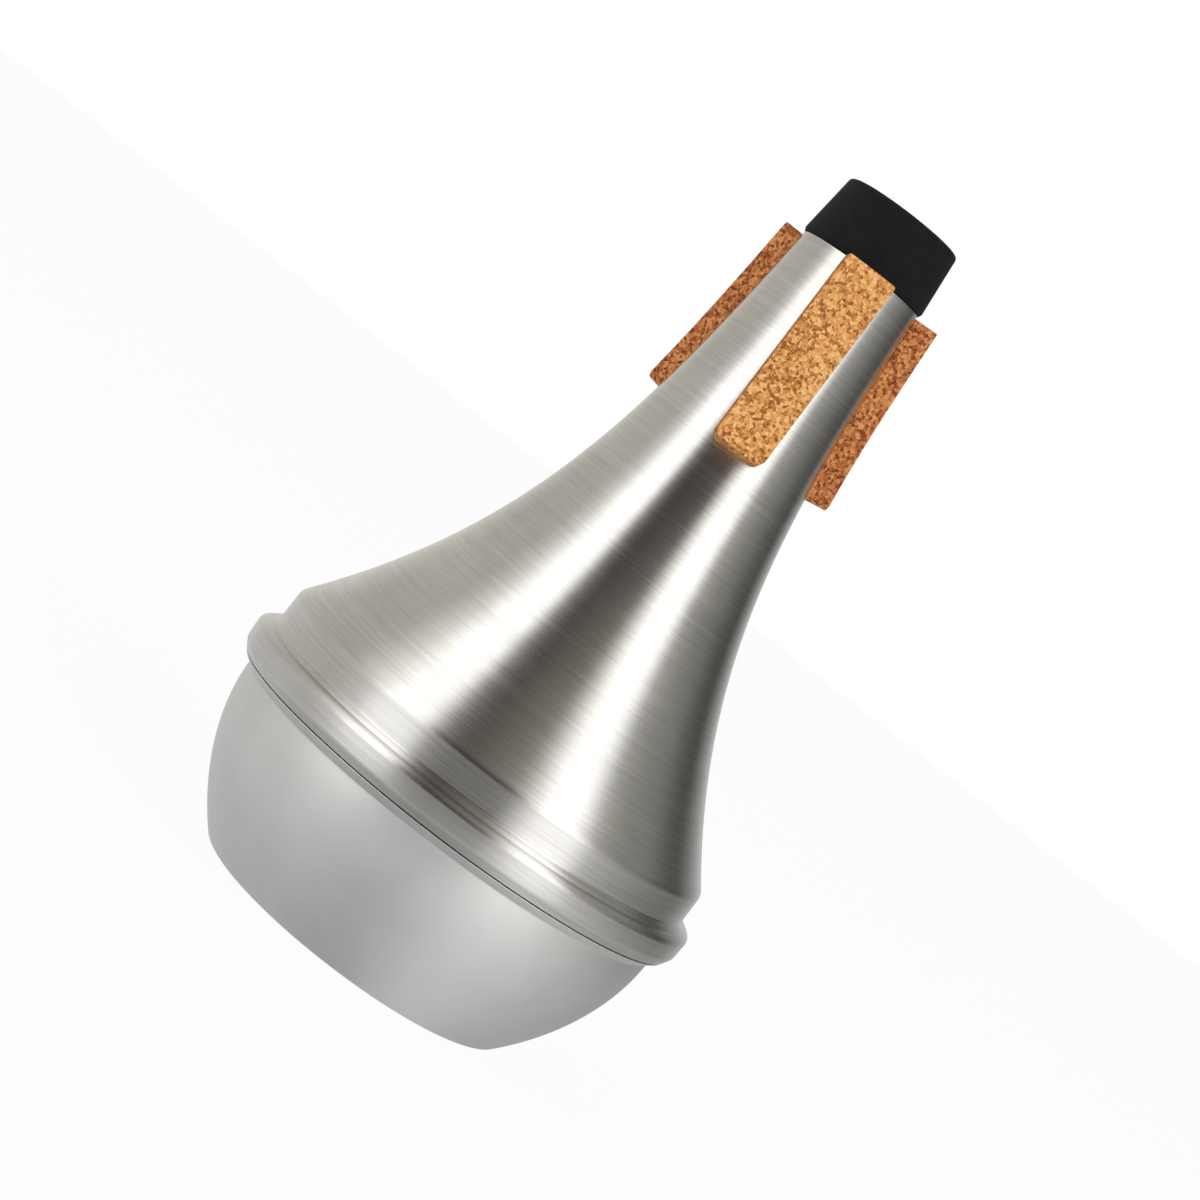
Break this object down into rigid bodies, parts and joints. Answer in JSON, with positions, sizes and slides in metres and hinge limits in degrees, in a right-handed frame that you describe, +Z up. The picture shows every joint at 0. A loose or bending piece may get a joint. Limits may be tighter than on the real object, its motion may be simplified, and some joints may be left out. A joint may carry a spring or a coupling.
{
  "type": "instrument mute",
  "caption": "Straight mute for a trumpet: flared spun cone with a rim bead, matt end cup, soft neck plug and bent cork strips.",
  "frame": {"origin": "centre of the flat base of the end cup, on which the mute stands", "axes": "+Z up along the mute's axis, towards the narrow end; -Y towards the front cork strip"},
  "size_m": [0.1, 0.1, 0.1686],
  "materials": {
    "spun_aluminium": "satin spun",
    "matt_aluminium": "matt",
    "foam_rubber": "matt black",
    "pressed_cork": "bare granular"
  },
  "bodies": {
    "mute_body": {"body_shell": "spun_aluminium", "end_cup": "matt_aluminium", "cork_front": "pressed_cork", "cork_right": "pressed_cork", "cork_left": "pressed_cork"},
    "plug": {"neck_plug": "foam_rubber"}
  },
  "joints": [
    {"name": "plug_pull", "type": "slide", "parent": "mute_body", "child": "plug", "axis": [0, 0, 1], "range_m": [0, 0.02]}
  ]
}
